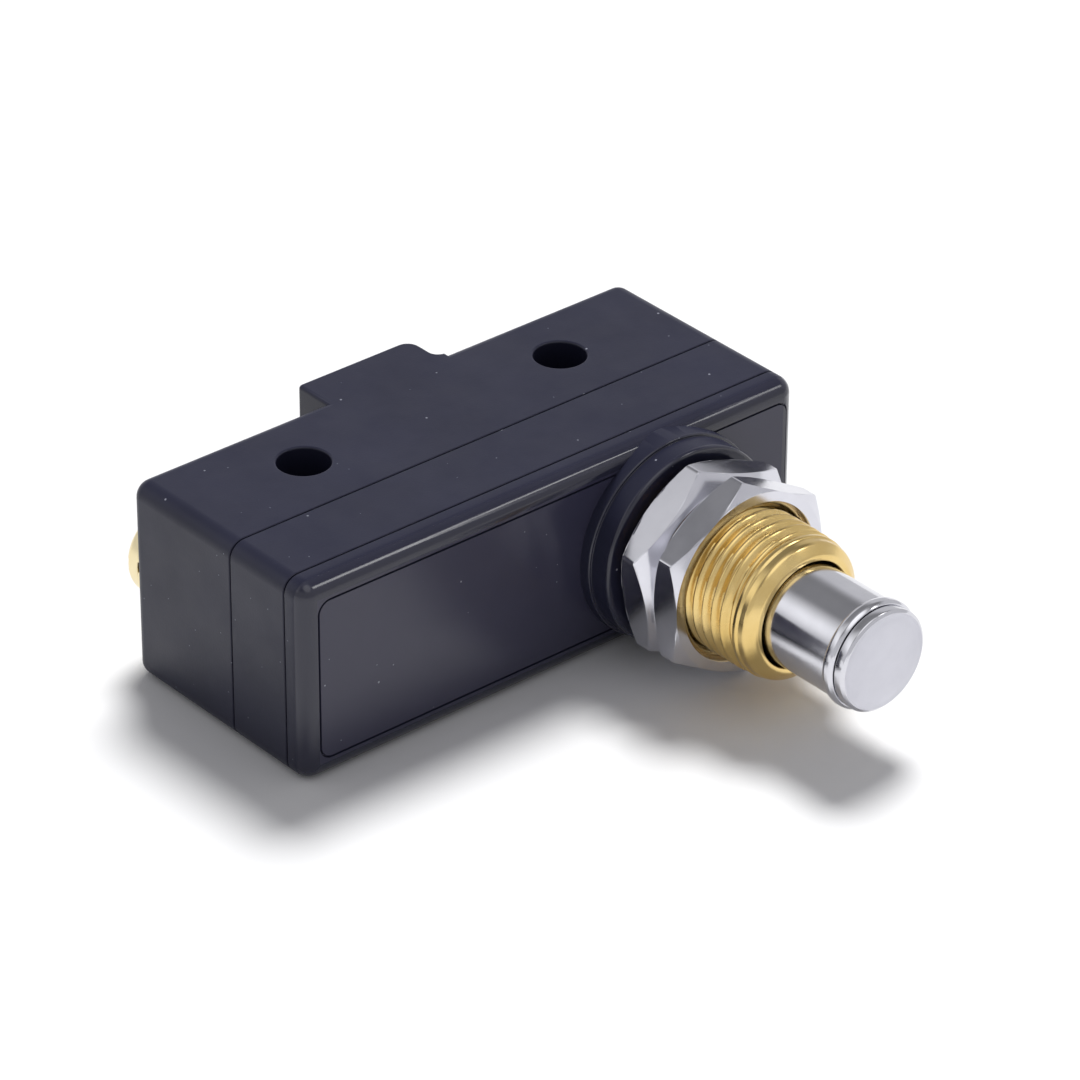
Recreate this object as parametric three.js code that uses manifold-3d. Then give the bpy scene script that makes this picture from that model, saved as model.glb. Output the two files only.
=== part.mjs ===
// Snap-action limit switch with a panel-mounting plunger head.
//
// Frame: millimetres. +X runs along the case, -Y is the way the plunger points, +Z is up through
// the two mounting holes. The origin is midway between those holes, on the lower side face.

import * as THREE from 'three';
import { mergeGeometries, mergeVertices } from 'three/addons/utils/BufferGeometryUtils.js';
import Module from 'manifold-3d';

const wasm = await Module();
wasm.setup();

// Case
const caseLength = 48.8;
const caseThickness = 17.1;
const caseDepth = 20.6;
const bumpDepth = 23.9;
const frontToHoles = 14.5;
const frontToCapSeam = 2.2;
const frontToCoverSeam = 8.6;
const seamGap = 0.12;
const edgeRadius = 1.3;
const wall = 1.8;
const holePitch = 25.4;
const holeRadius = 2.1;
const bumpLeft = -5.9;
const bumpRight = 5.3;
const bumpFillet = 0.8;

// Stations along Y
const frontY = -frontToHoles;
const capSeamY = frontY + frontToCapSeam;
const coverSeamY = frontY + frontToCoverSeam;
const shoulderY = frontY + caseDepth;
const bumpY = frontY + bumpDepth;
const midZ = caseThickness / 2;
const halfLength = caseLength / 2;

// Inner chamber
const chamberLeft = -22.8;
const chamberRight = 23.3;
const chamberFrontY = -10.9;
const chamberBackY = -3.5;

// Head
const plungerX = 10.85;
const bossRadius = 8.25;
const bossStepRadius = 8.5;
const bossStepLength = 1.0;
const bossLength = 2.9;
const grooveWidth = 0.35;
const grooveDepth = 0.25;
const fitGap = 0.15;

// Bushing, thread M12 x 1
const threadRadius = 5.95;
const threadRoot = 5.45;
const threadPitch = 1.0;
const bushingFlangeRadius = 7.5;
const bushingFlangeLength = 1.1;
const bushingLipLength = 2.1;
const bushingEndY = -30.5;
const bushingShoulderY = -25.4;
const guideRadius = 4.32;
const springWellRadius = 4.95;

// Nuts
const nutAcrossFlats = 14.8;
const nutThickness = 3.0;
const rearNutY = -18.1;
const nutGap = 0.2;
const rearNutTurn = 41;
const frontNutTurn = 32.5;

// Plunger
const plungerRadius = 4.2;
const plungerBore = 3.5;
const beadRadius = 4.47;
const beadFrontY = -38.0;
const beadLength = 1.0;
const plungerTipY = -39.15;
const plungerRearY = -24.1;
const plungerLipRadius = 2.1;
const ringGrooveRadius = 3.85;
const ringOuterRadius = 4.75;
const ringThickness = 0.7;

// Inner pusher, pin and springs
const pusherHeadRadius = 3.3;
const pusherHeadY = -26.5;
const pusherRodRadius = 1.7;
const pinFrontY = -12.6;
const pinRadius = 1.6;
const pinFlangeRadius = 2.4;
const returnSpringRadius = 3.9;
const returnWireRadius = 0.3;
const returnTurns = 6.5;
const overtravelSpringRadius = 2.8;
const overtravelWireRadius = 0.25;
const overtravelTurns = 6;

// Snap blade and contacts
const bladeY = -6.875;
const bladeThickness = 0.25;
const bladeWidth = 6;
const bladeLeft = -21.9;
const bladeRight = 21.3;
const contactX = 19.5;
const contactRadius = 1.8;
const contactHeight = 0.7;
const contactGap = 0.5;
const touchGap = 0.1;
const rivetX = -20;
const rivetRadius = 0.8;

// Terminals and their screws
const stripThickness = 0.8;
const stripWidth = 5.6;
const padWidth = 7.2;
const screwX = 19.9;
const washerRadius = 3.8;
const washerThickness = 0.6;
const washerTeeth = 12;
const screwHeadRadius = 3.7;
const screwHeadHeight = 2.3;
const screwRadius = 1.9;
const screwLength = 5;
const screwBore = 2.15;

const roundSides = 32;
const smallSides = 20;

const material = (name, color, roughness, metalness) =>
  new THREE.MeshStandardMaterial({ name, color, roughness, metalness });

const phenolic = () => material('phenolic', 0x42434f, 0.5, 0);
const panelPlastic = () => material('panel_plastic', 0x34343f, 0.25, 0);
const brass = () => material('brass', 0xd7b464, 0.3, 1);
const nickel = () => material('nickel', 0xc9c9d0, 0.22, 1);
const steel = () => material('steel', 0xc6c6cc, 0.28, 1);
const springSteel = () => material('spring_steel', 0xa9a9ad, 0.35, 1);
const copperAlloy = () => material('copper_alloy', 0xc98a55, 0.35, 1);
const silver = () => material('silver', 0xdedee2, 0.3, 1);
const redNylon = () => material('red_nylon', 0x8c2a22, 0.5, 0);

// Solid helpers

function manifoldOf(geometry) {
  const bare = geometry.clone();
  bare.deleteAttribute('normal');
  bare.deleteAttribute('uv');
  const merged = mergeVertices(bare, 1e-5);
  const vertProperties = new Float32Array(merged.attributes.position.array);
  const triVerts = new Uint32Array(merged.index.array);
  return new wasm.Manifold(new wasm.Mesh({ numProp: 3, vertProperties, triVerts }));
}

function geometryOf(solid) {
  const mesh = solid.getMesh();
  const geometry = new THREE.BufferGeometry();
  geometry.setAttribute('position', new THREE.BufferAttribute(mesh.vertProperties, 3));
  geometry.setIndex(new THREE.BufferAttribute(mesh.triVerts, 1));
  return geometry;
}

function combine({ add = [], cut = [], keep = [] }) {
  let solid = manifoldOf(add[0]);
  for (const geometry of add.slice(1)) solid = solid.add(manifoldOf(geometry));
  for (const geometry of keep) solid = solid.intersect(manifoldOf(geometry));
  for (const geometry of cut) solid = solid.subtract(manifoldOf(geometry));
  return geometryOf(solid);
}

function box(x0, x1, y0, y1, z0, z1) {
  const geometry = new THREE.BoxGeometry(x1 - x0, y1 - y0, z1 - z0);
  return geometry.translate((x0 + x1) / 2, (y0 + y1) / 2, (z0 + z1) / 2);
}

// A strip box centred on mid thickness
function strip(x0, x1, y0, y1, width = stripWidth) {
  return box(x0, x1, y0, y1, midZ - width / 2, midZ + width / 2);
}

// Solid of revolution about the Y axis from [radius, y] pairs, moved to (x, 0, mid thickness)
function turned(profile, x, sides = roundSides) {
  const points = profile.map(([radius, y]) => new THREE.Vector2(radius, y));
  if (THREE.ShapeUtils.area(points) < 0) points.reverse();
  if (points[0].x > 0) points.push(points[0].clone());
  return new THREE.LatheGeometry(points, sides).translate(x, 0, midZ);
}

function rod(radius, y0, y1, x, sides = roundSides) {
  return turned([[0, y0], [radius, y0], [radius, y1], [0, y1]], x, sides);
}

function tube(inner, outer, y0, y1, x, sides = roundSides) {
  return turned([[inner, y0], [outer, y0], [outer, y1], [inner, y1]], x, sides);
}

function sideHole(radius, x) {
  const geometry = new THREE.CylinderGeometry(radius, radius, 2 * caseThickness, smallSides);
  return geometry.rotateX(Math.PI / 2).translate(x, 0, midZ);
}

function roundedRectangle(x0, x1, z0, z1, radius) {
  const shape = new THREE.Shape();
  shape.moveTo(x0 + radius, z0);
  shape.lineTo(x1 - radius, z0);
  shape.absarc(x1 - radius, z0 + radius, radius, -Math.PI / 2, 0);
  shape.lineTo(x1, z1 - radius);
  shape.absarc(x1 - radius, z1 - radius, radius, 0, Math.PI / 2);
  shape.lineTo(x0 + radius, z1);
  shape.absarc(x0 + radius, z1 - radius, radius, Math.PI / 2, Math.PI);
  shape.lineTo(x0, z0 + radius);
  shape.absarc(x0 + radius, z0 + radius, radius, Math.PI, 1.5 * Math.PI);
  return shape;
}

// Extrudes an XZ outline from rearY towards the front
function pushedForward(shape, rearY, depth, options = {}) {
  const settings = { depth, curveSegments: 4, bevelEnabled: false, ...options };
  return new THREE.ExtrudeGeometry(shape, settings).rotateX(Math.PI / 2).translate(0, rearY, 0);
}

class Helix extends THREE.Curve {
  constructor(radius, y0, y1, turns) {
    super();
    Object.assign(this, { radius, y0, y1, turns });
  }

  getPoint(t, target = new THREE.Vector3()) {
    const angle = t * this.turns * 2 * Math.PI;
    const y = this.y0 + t * (this.y1 - this.y0);
    return target.set(this.radius * Math.cos(angle), y, this.radius * Math.sin(angle));
  }
}

function coil(radius, wireRadius, y0, y1, turns) {
  const shape = new THREE.Shape();
  shape.absarc(0, 0, wireRadius, 0, 2 * Math.PI);
  const extrudePath = new Helix(radius, y0 + wireRadius, y1 - wireRadius, turns);
  const settings = { steps: Math.round(turns * 12), curveSegments: 3, bevelEnabled: false, extrudePath };
  return new THREE.ExtrudeGeometry(shape, settings).translate(plungerX, 0, midZ);
}

// Case

// The whole outside of the case, before it is parted along its two seams
function caseBlock() {
  const outline = roundedRectangle(-halfLength, halfLength, 0, caseThickness, edgeRadius + 0.05);
  const bevel = { bevelEnabled: true, bevelSize: edgeRadius, bevelOffset: -edgeRadius };
  Object.assign(bevel, { bevelThickness: edgeRadius, bevelSegments: 3 });
  return pushedForward(outline, shoulderY - edgeRadius, caseDepth - 2 * edgeRadius, bevel);
}

function slab(rearY, frontLimitY) {
  return box(-caseLength, caseLength, frontLimitY, rearY, -1, caseThickness + 1);
}

function terminalBump() {
  const outline = new THREE.Shape();
  const foot = shoulderY - 2 * edgeRadius;
  outline.moveTo(bumpLeft, foot);
  outline.lineTo(bumpRight + bumpFillet, foot);
  outline.lineTo(bumpRight + bumpFillet, shoulderY);
  outline.absarc(bumpRight + bumpFillet, shoulderY + bumpFillet, bumpFillet, -Math.PI / 2, Math.PI, true);
  outline.lineTo(bumpRight, bumpY - edgeRadius);
  outline.absarc(bumpRight - edgeRadius, bumpY - edgeRadius, edgeRadius, 0, Math.PI / 2);
  outline.lineTo(bumpLeft, bumpY);
  return new THREE.ExtrudeGeometry(outline, { depth: caseThickness, curveSegments: 5, bevelEnabled: false });
}

function screwWell(x, faceY) {
  return rod(screwBore, faceY - screwLength - 0.2, faceY + 1, x, smallSides);
}

function padRecess(x0, x1, faceY) {
  const clear = fitGap;
  const depth = stripThickness + clear;
  return strip(x0 - clear, x1 + clear, faceY - depth, faceY + 1, padWidth + 2 * clear);
}

function legSlot(x0, x1, faceY) {
  return strip(x0 - fitGap, x1 + fitGap, coverSeamY, faceY, stripWidth + 2 * fitGap);
}

function caseBase() {
  return combine({
    add: [combine({ add: [caseBlock()], keep: [slab(shoulderY + 1, coverSeamY + seamGap / 2)] }), terminalBump()],
    cut: [
      strip(chamberLeft, chamberRight, coverSeamY - 1, chamberBackY, caseThickness - 2 * wall),
      sideHole(holeRadius, -holePitch / 2),
      sideHole(holeRadius, holePitch / 2),
      ...terminals.flatMap((t) => [
        padRecess(t.padX0, t.padX1, t.faceY),
        legSlot(t.legX0, t.legX1, t.faceY),
        screwWell(t.screwX, t.faceY),
      ]),
    ],
  });
}

function caseCover() {
  return combine({
    add: [caseBlock()],
    keep: [slab(coverSeamY - seamGap / 2, capSeamY + seamGap / 2)],
    cut: [
      strip(chamberLeft, chamberRight, chamberFrontY, coverSeamY + 1, caseThickness - 2 * wall),
      rod(pinRadius + fitGap, capSeamY - 1, chamberFrontY + 1, plungerX, smallSides),
    ],
  });
}

function panelGroove() {
  const inset = 1.85;
  const outer = roundedRectangle(-halfLength + inset, halfLength - 0.9, inset, caseThickness - inset, edgeRadius);
  const shrink = inset + grooveWidth;
  const right = halfLength - 0.9 - grooveWidth;
  const inner = roundedRectangle(-halfLength + shrink, right, shrink, caseThickness - shrink, edgeRadius - grooveWidth);
  outer.holes.push(inner);
  return pushedForward(outer, frontY + grooveDepth, 2 * grooveDepth);
}

function boss() {
  const step = frontY - bossStepLength;
  const front = frontY - bossLength;
  const bevel = 0.35;
  const inside = frontY + 1;
  return turned(
    [
      [0, inside],
      [bossStepRadius, inside],
      [bossStepRadius, step + 0.2],
      [bossStepRadius - 0.2, step],
      [bossRadius, step],
      [bossRadius, front + bevel],
      [bossRadius - bevel, front],
      [0, front],
    ],
    plungerX,
  );
}

function headCap() {
  const plate = combine({
    add: [caseBlock()],
    keep: [slab(capSeamY - seamGap / 2, frontY - 1)],
    cut: [panelGroove()],
  });
  const flangeFrontY = capSeamY - 0.2 - bushingFlangeLength - fitGap;
  return combine({
    add: [plate, boss()],
    keep: [box(-caseLength, caseLength, frontY - bossLength, capSeamY, 0, caseThickness)],
    cut: [
      rod(threadRadius + 2 * fitGap, frontY - bossLength - 1, capSeamY + 1, plungerX),
      rod(bushingFlangeRadius + fitGap, flangeFrontY, capSeamY + 1, plungerX),
    ],
  });
}

// Bushing and nuts

function threadProfile(firstY, lastY) {
  const crests = Math.floor((firstY - lastY) / threadPitch);
  const points = [];
  for (let i = 0; i < crests; i += 1) {
    const y = firstY - i * threadPitch;
    points.push([threadRoot, y], [threadRadius, y - threadPitch / 2]);
  }
  points.push([threadRoot, firstY - crests * threadPitch]);
  return points;
}

function bushing() {
  const rear = capSeamY - 0.2;
  const flangeFront = rear - bushingFlangeLength;
  const lip = bushingEndY + bushingLipLength;
  return turned(
    [
      [springWellRadius, rear],
      [bushingFlangeRadius, rear],
      [bushingFlangeRadius, flangeFront],
      [threadRadius, flangeFront],
      ...threadProfile(frontY - bossLength + 0.4, lip),
      [threadRadius - 0.15, lip],
      [threadRadius - 0.05, lip - 0.3],
      [threadRadius - 0.1, bushingEndY + 1.4],
      [threadRadius - 0.35, bushingEndY + 0.7],
      [threadRadius - 0.8, bushingEndY + 0.2],
      [threadRadius - 1.2, bushingEndY],
      [guideRadius + 0.13, bushingEndY + 0.1],
      [guideRadius, bushingEndY + 0.4],
      [guideRadius, bushingShoulderY],
      [springWellRadius, bushingShoulderY],
    ],
    plungerX,
  );
}

function nut(rearY, turn) {
  const frontFace = rearY - nutThickness;
  const cornerRadius = nutAcrossFlats / Math.sqrt(3);
  const chamfer = 0.45;
  const faceRadius = nutAcrossFlats / 2 - 0.15;
  const hexagon = new THREE.CylinderGeometry(cornerRadius, cornerRadius, nutThickness, 6);
  // CylinderGeometry starts its first corner on +Z, so it is turned back to start on +X
  hexagon.rotateY(Math.PI / 2 - THREE.MathUtils.degToRad(turn));
  hexagon.translate(plungerX, (rearY + frontFace) / 2, midZ);
  const envelope = turned(
    [
      [0, rearY],
      [faceRadius, rearY],
      [cornerRadius + 0.05, rearY - chamfer],
      [cornerRadius + 0.05, frontFace + chamfer],
      [faceRadius, frontFace],
      [0, frontFace],
    ],
    plungerX,
  );
  const bore = turned(
    [
      [0, rearY + 0.1],
      [threadRadius + 0.85, rearY + 0.1],
      [threadRadius + fitGap, rearY - 0.6],
      [threadRadius + fitGap, frontFace + 0.6],
      [threadRadius + 0.85, frontFace - 0.1],
      [0, frontFace - 0.1],
    ],
    plungerX,
  );
  return combine({ add: [hexagon], keep: [envelope], cut: [bore] });
}

// Plunger

function plungerSleeve() {
  const ringY = bushingShoulderY + fitGap;
  const beadRearY = beadFrontY + beadLength;
  return turned(
    [
      [plungerLipRadius, plungerRearY],
      [plungerRadius - 0.2, plungerRearY],
      [plungerRadius, plungerRearY - 0.2],
      [plungerRadius, ringY + ringThickness + 0.1],
      [ringGrooveRadius, ringY + ringThickness + 0.1],
      [ringGrooveRadius, ringY - 0.1],
      [plungerRadius, ringY - 0.1],
      [plungerRadius, beadRearY + 0.1],
      [beadRadius - 0.1, beadRearY - 0.1],
      [beadRadius, beadRearY - 0.35],
      [beadRadius, beadFrontY + 0.3],
      [beadRadius - 0.15, beadFrontY + 0.05],
      [plungerRadius - 0.1, beadFrontY],
      [plungerBore, beadFrontY],
      [plungerBore, plungerRearY - 0.8],
      [plungerLipRadius, plungerRearY - 0.8],
    ],
    plungerX,
  );
}

function plungerCap() {
  const rim = plungerTipY + 0.3;
  const rear = beadFrontY - 0.08;
  return turned(
    [
      [0, plungerTipY],
      [plungerRadius - 1.2, plungerTipY],
      [plungerRadius - 0.35, plungerTipY + 0.08],
      [plungerRadius, rim],
      [plungerRadius, rear],
      [plungerBore - 0.1, rear],
      [plungerBore - 0.1, beadFrontY + 1.4],
      [0, beadFrontY + 1.4],
    ],
    plungerX,
  );
}

// Open ring that stops the plunger on the bushing's inner shoulder
function retainingRing() {
  const rear = bushingShoulderY + fitGap + ringThickness;
  return combine({
    add: [tube(ringGrooveRadius + 0.1, ringOuterRadius, rear - ringThickness, rear, plungerX)],
    cut: [box(plungerX - 0.8, plungerX + 0.8, rear - 1, rear + 1, midZ - 2 * ringOuterRadius, midZ)],
  });
}

function innerPusher() {
  const headRear = pusherHeadY + 1.4;
  return turned(
    [
      [0, pusherHeadY],
      [pusherHeadRadius - 0.3, pusherHeadY],
      [pusherHeadRadius, pusherHeadY + 0.3],
      [pusherHeadRadius, headRear],
      [pusherRodRadius, headRear],
      [pusherRodRadius, pinFrontY - 0.5],
      [pusherRodRadius - 0.3, pinFrontY - 0.2],
      [0, pinFrontY - 0.2],
    ],
    plungerX,
    smallSides,
  );
}

function pinPlunger() {
  const flange = chamberFrontY + fitGap;
  const tip = bladeY - bladeThickness / 2 - fitGap;
  return turned(
    [
      [0, pinFrontY],
      [pinRadius, pinFrontY],
      [pinRadius, flange],
      [pinFlangeRadius, flange],
      [pinFlangeRadius, flange + 0.8],
      [pinRadius, flange + 0.8],
      [pinRadius, tip - 0.6],
      [pinRadius - 0.6, tip],
      [0, tip],
    ],
    plungerX,
    smallSides,
  );
}

// Snap blade and contacts

function snapBlade() {
  const shape = roundedRectangle(bladeLeft, bladeRight, midZ - bladeWidth / 2, midZ + bladeWidth / 2, 0.8);
  const windowRadius = 0.35;
  const windowLeft = -13;
  const windowRight = 6.5;
  for (const side of [-1, 1]) {
    const z = midZ + side * 1.45;
    shape.holes.push(roundedRectangle(windowLeft, windowRight, z - 0.4, z + 0.4, windowRadius));
  }
  shape.holes.push(roundedRectangle(windowLeft - 2, windowLeft - 0.6, midZ - 1.6, midZ + 1.6, windowRadius));
  const blade = pushedForward(shape, bladeY + bladeThickness / 2, bladeThickness, { curveSegments: 3 });
  const holes = [rivetX, contactX].map((x) => rod(rivetRadius + 0.1, bladeY - 1, bladeY + 1, x, smallSides));
  return combine({ add: [blade], cut: holes });
}

// Rivet on the X station given, with a head on each side of a strip from y0 (front) to y1 (rear)
function rivet(x, y0, y1, headRadius, frontHeight, rearHeight) {
  const bevel = 0.25;
  return turned(
    [
      [0, y0 - frontHeight],
      [headRadius - bevel, y0 - frontHeight],
      [headRadius, y0 - frontHeight + bevel],
      [headRadius, y0],
      [rivetRadius, y0],
      [rivetRadius, y1],
      [headRadius, y1],
      [headRadius, y1 + rearHeight - bevel],
      [headRadius - bevel, y1 + rearHeight],
      [0, y1 + rearHeight],
    ],
    x,
    smallSides,
  );
}

const bladeFrontY = bladeY - bladeThickness / 2;
const bladeBackY = bladeY + bladeThickness / 2;
const stripGap = 0.05;
const movingFrontY = bladeFrontY - stripGap - contactHeight;
const movingBackY = bladeBackY + stripGap + contactHeight;
const ncStripBackY = movingFrontY - touchGap - contactHeight - stripGap;
const ncStripFrontY = ncStripBackY - stripThickness;
const noStripFrontY = movingBackY + contactGap + contactHeight + stripGap;
const noStripBackY = noStripFrontY + stripThickness;
const comFootFrontY = bladeBackY + stripGap;
const comFootBackY = comFootFrontY + stripThickness;

function movingContact() {
  return rivet(contactX, bladeFrontY - stripGap, bladeBackY + stripGap, contactRadius, contactHeight, contactHeight);
}

function fixedContactNc() {
  return rivet(contactX, ncStripFrontY - stripGap, ncStripBackY + stripGap, contactRadius, 0.4, contactHeight);
}

function fixedContactNo() {
  return rivet(contactX, noStripFrontY - stripGap, noStripBackY + stripGap, contactRadius, contactHeight, 0.1);
}

function bladeRivet() {
  return rivet(rivetX, bladeFrontY - touchGap, comFootBackY + stripGap, 1.6, 0.5, 0.5);
}

// Terminals: a pad on the back of the case, a leg through the case and a foot in the chamber

const terminals = [
  {
    name: 'com',
    padX0: -screwX - 3.5,
    padX1: -16.5,
    legX0: -16.5 - stripThickness,
    legX1: -16.5,
    screwX: -screwX,
    faceY: shoulderY,
    foot: [-22.2, -16.5, comFootFrontY, comFootBackY],
    holeX: rivetX,
  },
  {
    name: 'no',
    padX0: -3.6,
    padX1: 4.5,
    legX0: 4.5 - stripThickness,
    legX1: 4.5,
    screwX: 0,
    faceY: bumpY,
    foot: [4.5 - stripThickness, 21.4, noStripFrontY, noStripBackY],
    holeX: contactX,
  },
  {
    name: 'nc',
    padX0: 16.4,
    padX1: 23.1,
    legX0: 23.1 - stripThickness,
    legX1: 23.1,
    screwX,
    faceY: shoulderY,
    foot: [17.3, 23.1, ncStripFrontY, ncStripBackY],
    holeX: contactX,
  },
];

function terminal({ padX0, padX1, legX0, legX1, screwX: x, faceY, foot, holeX }) {
  return combine({
    add: [
      strip(padX0, padX1, faceY - stripThickness, faceY, padWidth),
      strip(legX0, legX1, foot[2], faceY),
      strip(...foot),
    ],
    cut: [
      rod(screwRadius + fitGap, faceY - 2, faceY + 1, x, smallSides),
      rod(rivetRadius + 0.1, foot[2] - 1, foot[3] + 1, holeX, smallSides),
    ],
  });
}

function toothedWasher({ screwX: x, faceY }) {
  const shape = new THREE.Shape();
  for (let i = 0; i < 4 * washerTeeth; i += 1) {
    const angle = (i / (4 * washerTeeth)) * 2 * Math.PI;
    const radius = i % 4 < 2 ? washerRadius : washerRadius - 0.8;
    const [u, v] = [radius * Math.cos(angle), radius * Math.sin(angle)];
    if (i === 0) shape.moveTo(u, v);
    else shape.lineTo(u, v);
  }
  const hole = new THREE.Path();
  hole.absarc(0, 0, screwRadius + fitGap, 0, 2 * Math.PI);
  shape.holes.push(hole);
  const rear = faceY + stripGap + washerThickness;
  return pushedForward(shape, rear, washerThickness, { curveSegments: smallSides / 2 }).translate(x, 0, midZ);
}

function terminalScrew({ screwX: x, faceY }) {
  const seat = faceY + washerThickness + 2 * stripGap;
  const top = seat + screwHeadHeight;
  const body = turned(
    [
      [0, seat - screwLength],
      [screwRadius - 0.4, seat - screwLength],
      [screwRadius, seat - screwLength + 0.4],
      [screwRadius, seat],
      [screwHeadRadius, seat],
      [screwHeadRadius, seat + 0.45 * screwHeadHeight],
      [screwHeadRadius - 0.25, seat + 0.7 * screwHeadHeight],
      [screwHeadRadius - 0.8, seat + 0.9 * screwHeadHeight],
      [screwHeadRadius - 1.6, top],
      [0, top],
    ],
    x,
    smallSides,
  );
  const slotWidth = 1.0;
  const slotDepth = 1.2;
  const slot = box(x - 5, x + 5, top - slotDepth, top + 1, midZ - slotWidth / 2, midZ + slotWidth / 2);
  return combine({ add: [body], cut: [slot] });
}

// Assembly

const group = new THREE.Group();

function put(name, geometry, look) {
  const mesh = new THREE.Mesh(geometry, look);
  mesh.name = name;
  group.add(mesh);
}

const frontNutY = rearNutY - nutThickness - nutGap;
const springRearY = capSeamY - 0.1;
const springFrontY = plungerRearY + 0.1;

put('case_base', caseBase(), phenolic());
put('case_cover', caseCover(), phenolic());
put('head_cap', headCap(), panelPlastic());
put('bushing', bushing(), brass());
put('nut_rear', nut(rearNutY, rearNutTurn), nickel());
put('nut_front', nut(frontNutY, frontNutTurn), nickel());
put('plunger_sleeve', plungerSleeve(), steel());
put('plunger_cap', plungerCap(), steel());
put('retaining_ring', retainingRing(), springSteel());
put('return_spring', coil(returnSpringRadius, returnWireRadius, springFrontY, springRearY, returnTurns), springSteel());
put(
  'overtravel_spring',
  coil(overtravelSpringRadius, overtravelWireRadius, beadFrontY + 1.5, pusherHeadY - 0.1, overtravelTurns),
  springSteel(),
);
put('inner_pusher', innerPusher(), brass());
put('pin_plunger', pinPlunger(), redNylon());
put('snap_blade', snapBlade(), copperAlloy());
put('moving_contact', movingContact(), silver());
put('blade_rivet', bladeRivet(), brass());
put('fixed_contact_nc', fixedContactNc(), silver());
put('fixed_contact_no', fixedContactNo(), silver());
for (const item of terminals) {
  put(`terminal_${item.name}`, terminal(item), brass());
  put(`screw_washer_${item.name}`, toothedWasher(item), brass());
  put(`terminal_screw_${item.name}`, terminalScrew(item), brass());
}

export default group;
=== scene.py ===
"""A limit switch with a panel-mounting plunger head: fine meshes, materials, floor, light and camera.

Shapes are worked out in millimetres in the row frame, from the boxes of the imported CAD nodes, and
turned into metres when each mesh is made. +X runs along the case, -Y is the way the plunger points
and +Z is up through the two mounting holes.
"""

import math

import bmesh
import bpy
from mathutils import Matrix, Vector


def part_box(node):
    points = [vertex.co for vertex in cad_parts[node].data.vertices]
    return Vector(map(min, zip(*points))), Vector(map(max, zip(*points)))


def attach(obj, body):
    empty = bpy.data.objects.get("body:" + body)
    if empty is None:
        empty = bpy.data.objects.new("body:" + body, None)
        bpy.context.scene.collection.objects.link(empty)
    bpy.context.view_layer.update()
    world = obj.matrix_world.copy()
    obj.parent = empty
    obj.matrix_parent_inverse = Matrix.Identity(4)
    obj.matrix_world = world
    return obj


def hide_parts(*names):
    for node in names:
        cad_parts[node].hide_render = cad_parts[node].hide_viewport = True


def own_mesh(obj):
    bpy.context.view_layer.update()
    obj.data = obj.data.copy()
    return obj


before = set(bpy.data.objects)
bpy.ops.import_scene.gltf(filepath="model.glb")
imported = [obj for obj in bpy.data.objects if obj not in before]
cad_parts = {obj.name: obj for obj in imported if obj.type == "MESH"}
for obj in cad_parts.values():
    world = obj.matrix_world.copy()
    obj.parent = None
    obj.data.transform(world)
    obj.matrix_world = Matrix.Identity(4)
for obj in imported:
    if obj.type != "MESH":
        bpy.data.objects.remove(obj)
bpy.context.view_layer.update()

MM = 0.001
TAU = 2 * math.pi


def box_mm(node):
    low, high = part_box(node)
    return low / MM, high / MM


# ---------------------------------------------------------------- sizes, in mm, from the frame

base_low, base_high = box_mm("case_base")
cover_low, cover_high = box_mm("case_cover")
cap_low, cap_high = box_mm("head_cap")
bushing_low, bushing_high = box_mm("bushing")
sleeve_low, sleeve_high = box_mm("plunger_sleeve")
tip_low, tip_high = box_mm("plunger_cap")
pusher_low, pusher_high = box_mm("inner_pusher")
pin_low, pin_high = box_mm("pin_plunger")

HALF_LENGTH = base_high.x
THICKNESS = base_high.z
MID_Z = THICKNESS / 2
SHOULDER_Y = box_mm("terminal_com")[1].y
BUMP_Y = base_high.y
BUMP_LEFT = -5.9
BUMP_RIGHT = 5.3
HEAD_X = (sleeve_low.x + sleeve_high.x) / 2
BOSS_FRONT = cap_low.y
FRONT_Y = BOSS_FRONT + 2.9
CORNER = 1.35
FRONT_FILLET = 1.4
BACK_FILLET = 1.0
LIP = 0.1
HOLE_X = 12.7
HOLE_RADIUS = 2.1
WALL = 1.8
CHAMBER_X = (-22.8, 23.3)
CHAMBER_FRONT = -10.9
CHAMBER_BACK = -3.5
FIT = 0.15

BOSS_STEP_RADIUS = 8.5
BOSS_STEP = 1.0
BOSS_RADIUS = 8.25
PANEL_LEFT = -22.88
PANEL_RIGHT = HALF_LENGTH - 0.95
PANEL_LOW = 1.75
PANEL_HIGH = THICKNESS - 1.7
PANEL_CORNER = 1.1
GROOVE_WIDTH = 0.16
GROOVE_DEPTH = 0.2

THREAD_CREST = 5.96
THREAD_ROOT = 5.42
PITCH = 1.0
GUIDE_RADIUS = 4.32
WELL_RADIUS = 4.95
FLANGE_RADIUS = (bushing_high.x - bushing_low.x) / 2
SHOULDER_IN_BUSHING = -25.4

ACROSS_FLATS = 14.8
NUT_OUTER_FACE = 7.45
NUT_FACING_FACE = 6.85
NUT_CHAMFER_SLOPE = math.tan(math.radians(32))
NUT_FACES = {"nut_rear": (NUT_OUTER_FACE, NUT_FACING_FACE), "nut_front": (NUT_FACING_FACE, NUT_OUTER_FACE)}
NUT_TURNS = {"nut_rear": 41.0, "nut_front": 32.5}

PIN_RADIUS = 1.6
PIN_FLANGE_RADIUS = 2.4
PIN_STEP = 0.8
SCREW_SHANK = 1.9

STRIP_THICKNESS = 0.8
PAD_WIDTH = 7.2
LEG_WIDTH = 5.6
TERMINAL_PADS = {"com": (-23.4, -16.5), "no": (-3.6, 4.5), "nc": (16.4, 23.1)}
SCREW_WELL_RADIUS = 2.15
SCREW_WELL_DEPTH = 5.2


# ---------------------------------------------------------------- mesh helpers


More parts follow.
